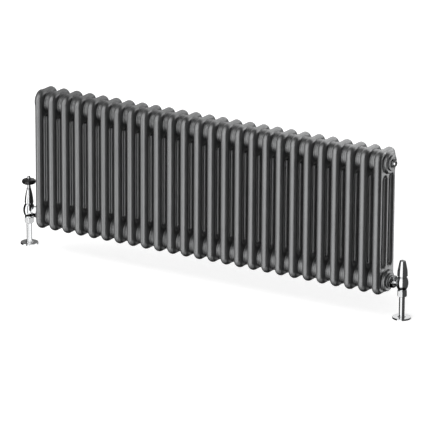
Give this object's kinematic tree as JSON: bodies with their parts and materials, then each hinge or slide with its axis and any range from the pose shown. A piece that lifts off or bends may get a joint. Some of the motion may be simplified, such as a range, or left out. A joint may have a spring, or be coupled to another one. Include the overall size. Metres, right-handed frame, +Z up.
{
  "type": "column radiator with valves",
  "caption": "Wall-hung three-column steel radiator on floor pipes, with a thermostatic valve at one end and a lockshield at the other.",
  "frame": {"origin": "at the middle of the radiator on the finished floor, level with the undersides of both floor rosettes", "axes": "+Z up; +X along the radiator from the thermostatic valve to the lockshield valve; -Y is the room side and +Y faces the wall"},
  "size_m": [1.306, 0.1, 0.491],
  "materials": {
    "painted_steel": "satin anthracite grey paint",
    "chrome": "polished chrome plate",
    "black_gloss": "polished black",
    "brass": "machined",
    "spring_steel": "drawn wire and turned pin",
    "rubber": "matt moulded"
  },
  "bodies": {
    "radiator": {"section_01": "painted_steel", "section_02": "painted_steel", "section_03": "painted_steel", "section_04": "painted_steel", "section_05": "painted_steel", "section_06": "painted_steel", "section_07": "painted_steel", "section_08": "painted_steel", "section_09": "painted_steel", "section_10": "painted_steel", "section_11": "painted_steel", "section_12": "painted_steel", "section_13": "painted_steel", "section_14": "painted_steel", "section_15": "painted_steel", "section_16": "painted_steel", "section_17": "painted_steel", "section_18": "painted_steel", "section_19": "painted_steel", "section_20": "painted_steel", "section_21": "painted_steel", "section_22": "painted_steel", "section_23": "painted_steel", "section_24": "painted_steel", "section_25": "painted_steel", "section_26": "painted_steel", "trv_end_bush": "painted_steel", "lockshield_end_bush": "painted_steel", "blank_end_bush": "painted_steel", "vent_end_bush": "painted_steel", "blanking_plug": "chrome", "vent_plug": "chrome", "trv_body": "chrome", "trv_union_nut": "chrome", "trv_tail": "chrome", "trv_compression_nut": "chrome", "trv_sleeve": "chrome", "trv_rosette": "chrome", "trv_olive": "brass", "lockshield_body": "chrome", "lockshield_union_nut": "chrome", "lockshield_tail": "chrome", "lockshield_compression_nut": "chrome", "lockshield_sleeve": "chrome", "lockshield_rosette": "chrome", "lockshield_olive": "brass", "trv_insert": "brass", "lockshield_bonnet": "brass", "trv_spring": "spring_steel", "trv_head_shell": "chrome"},
    "trv_wheel": {"trv_stem": "chrome", "trv_wheel": "black_gloss", "trv_wheel_cap": "chrome"},
    "trv_plunger": {"trv_sensor": "brass", "trv_pin": "spring_steel", "trv_washer": "rubber"},
    "lockshield_cap": {"lockshield_cap": "chrome"},
    "lockshield_spindle": {"lockshield_spindle": "brass"},
    "lockshield_plug": {"lockshield_plug": "brass"},
    "bleed_screw": {"bleed_screw": "chrome"}
  },
  "joints": [
    {"name": "trv_wheel_turn", "type": "hinge", "parent": "radiator", "child": "trv_wheel", "pos_m": [-0.626, 0, 0.194], "axis": [0, 0, 1], "range_deg": [-150, 150]},
    {"name": "trv_plunger_travel", "type": "slide", "parent": "radiator", "child": "trv_plunger", "axis": [0, 0, 1], "range_m": [-0.00126, 0.00126], "deforming": ["trv_spring"]},
    {"name": "lockshield_cap_lift", "type": "slide", "parent": "radiator", "child": "lockshield_cap", "axis": [0, 0, 1], "range_m": [0, 0.06]},
    {"name": "lockshield_spindle_turn", "type": "hinge", "parent": "radiator", "child": "lockshield_spindle", "pos_m": [0.626, 0, 0.104], "axis": [0, 0, 1], "range_deg": [-540, 540]},
    {"name": "lockshield_plug_travel", "type": "slide", "parent": "radiator", "child": "lockshield_plug", "axis": [0, 0, 1], "range_m": [-0.00159, 0.00159]},
    {"name": "bleed_screw_turn", "type": "hinge", "parent": "radiator", "child": "bleed_screw", "pos_m": [0.59, 0, 0.453], "axis": [1, 0, 0], "range_deg": [0, 360]}
  ],
  "couplings": [
    {"joint": "trv_plunger_travel", "follows": "trv_wheel_turn", "m_per_rad": 0.00048},
    {"joint": "lockshield_spindle_turn", "follows": "lockshield_plug_travel", "rad_per_m": 5917}
  ]
}
